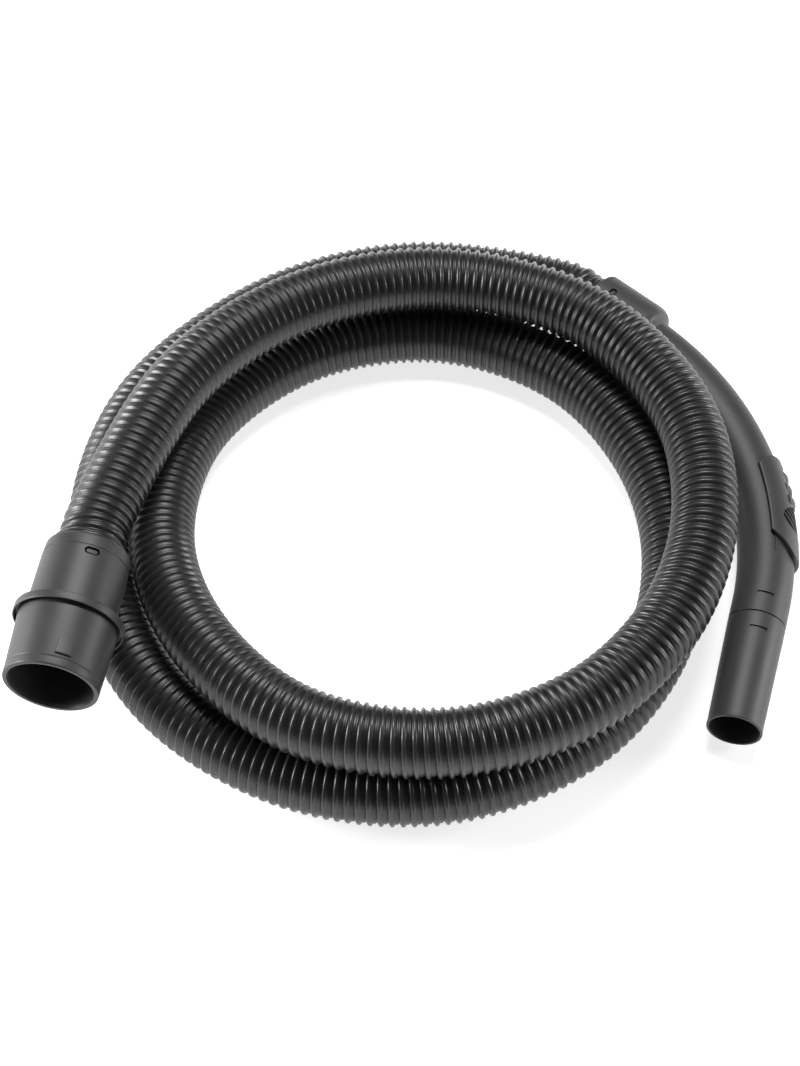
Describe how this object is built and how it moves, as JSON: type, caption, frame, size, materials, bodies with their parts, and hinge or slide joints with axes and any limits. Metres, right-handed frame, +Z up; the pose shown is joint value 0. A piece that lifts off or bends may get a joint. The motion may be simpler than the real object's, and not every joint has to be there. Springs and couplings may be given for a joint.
{
  "type": "vacuum hose",
  "caption": "Ribbed suction hose for a canister vacuum cleaner, lying in loose loops, with a flanged machine connector and a long bent handle that has an air slider.",
  "frame": {"origin": "on the floor, under the middle of the box round the two rigid fittings (connector and handle)", "axes": "+Z up from the floor, +Y away from the two open ends, +X towards the handle"},
  "size_m": [0.5119, 0.4707, 0.1063],
  "materials": {
    "hose_black": "glossy black flexible plastic, helically ribbed",
    "connector_dark_grey": "satin moulded plastic",
    "sleeve_black": "smooth moulded plastic",
    "lock_ring_black": "moulded plastic",
    "seal_rubber": "soft black rubber",
    "handle_dark_grey": "satin moulded plastic",
    "end_tube_dark_grey": "satin moulded plastic",
    "slider_dark_grey": "satin moulded plastic"
  },
  "bodies": {
    "hose": {"hose_first_length": "hose_black", "hose_middle_length": "hose_black", "hose_last_length": "hose_black", "connector_sleeve": "sleeve_black", "handle_sleeve": "sleeve_black"},
    "connector": {"connector_shell": "connector_dark_grey", "connector_lock_ring": "lock_ring_black", "connector_seal": "seal_rubber"},
    "handle": {"handle_grip": "handle_dark_grey", "handle_end_tube": "end_tube_dark_grey", "handle_lock_ring": "lock_ring_black", "handle_seal": "seal_rubber"},
    "slider": {"air_slider": "slider_dark_grey"}
  },
  "joints": [
    {"name": "connector_swivel", "type": "hinge", "parent": "hose", "child": "connector", "pos_m": [-0.21002, -0.08162, 0.073], "axis": [0.1649, 0.9855, 0.041], "continuous": true},
    {"name": "handle_swivel", "type": "hinge", "parent": "hose", "child": "handle", "pos_m": [0.1293, 0.1646, 0.0279], "axis": [0.7431, -0.6689, -0.0206], "continuous": true},
    {"name": "air_slide", "type": "hinge", "parent": "handle", "child": "slider", "pos_m": [0.01054, -0.0285, 0.02379], "axis": [0.0055, -0.0247, 0.9997], "range_deg": [-2.6, 3.1]}
  ]
}
